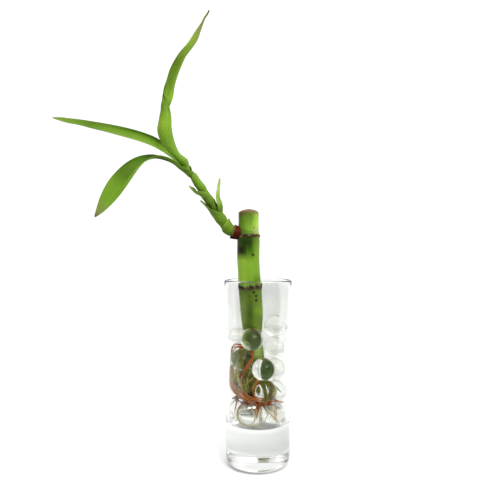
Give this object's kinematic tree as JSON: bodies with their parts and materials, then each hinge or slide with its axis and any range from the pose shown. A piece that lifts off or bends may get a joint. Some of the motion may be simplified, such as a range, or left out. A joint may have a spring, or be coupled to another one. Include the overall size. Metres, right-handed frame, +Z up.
{
  "type": "lucky bamboo in a glass vase",
  "caption": "Lucky bamboo: a rooted green stalk with a leafy side shoot, standing in a tall clear glass vase of round water beads.",
  "frame": {"origin": "centre of the vase's flat foot, on the surface it stands on", "axes": "+Z up along the vase, -Y the front shown in the picture, +X to the right, so the shoot leans to -X"},
  "size_m": [0.1776, 0.058, 0.3349],
  "materials": {
    "clear_glass": "clear, polished",
    "gel_bead": "clear water gel, wet",
    "stalk_skin": "smooth green rind, satin",
    "root_skin": "matte, moist",
    "young_stem": "satin",
    "dry_scale": "dry, papery",
    "leaf_sheath": "satin, fine lengthwise veins",
    "leaf_blade": "satin, fine lengthwise veins"
  },
  "bodies": {
    "root": {"vase": "clear_glass", "stalk": "stalk_skin", "bead_01": "gel_bead", "bead_02": "gel_bead", "bead_03": "gel_bead", "bead_04": "gel_bead", "bead_05": "gel_bead", "bead_06": "gel_bead", "bead_07": "gel_bead", "bead_08": "gel_bead", "bead_09": "gel_bead", "bead_10": "gel_bead", "bead_11": "gel_bead", "bead_12": "gel_bead", "bead_13": "gel_bead", "bead_14": "gel_bead", "bead_15": "gel_bead", "roots": "root_skin", "shoot_stem": "young_stem", "bud_scale": "dry_scale", "sheath_base": "leaf_sheath", "bract_left": "leaf_sheath", "bract_upright": "leaf_sheath", "bract_short": "leaf_sheath", "bract_nub": "leaf_sheath", "leaf_drooping": "leaf_blade", "leaf_left": "leaf_blade", "leaf_upright": "leaf_blade"}
  },
  "joints": []
}
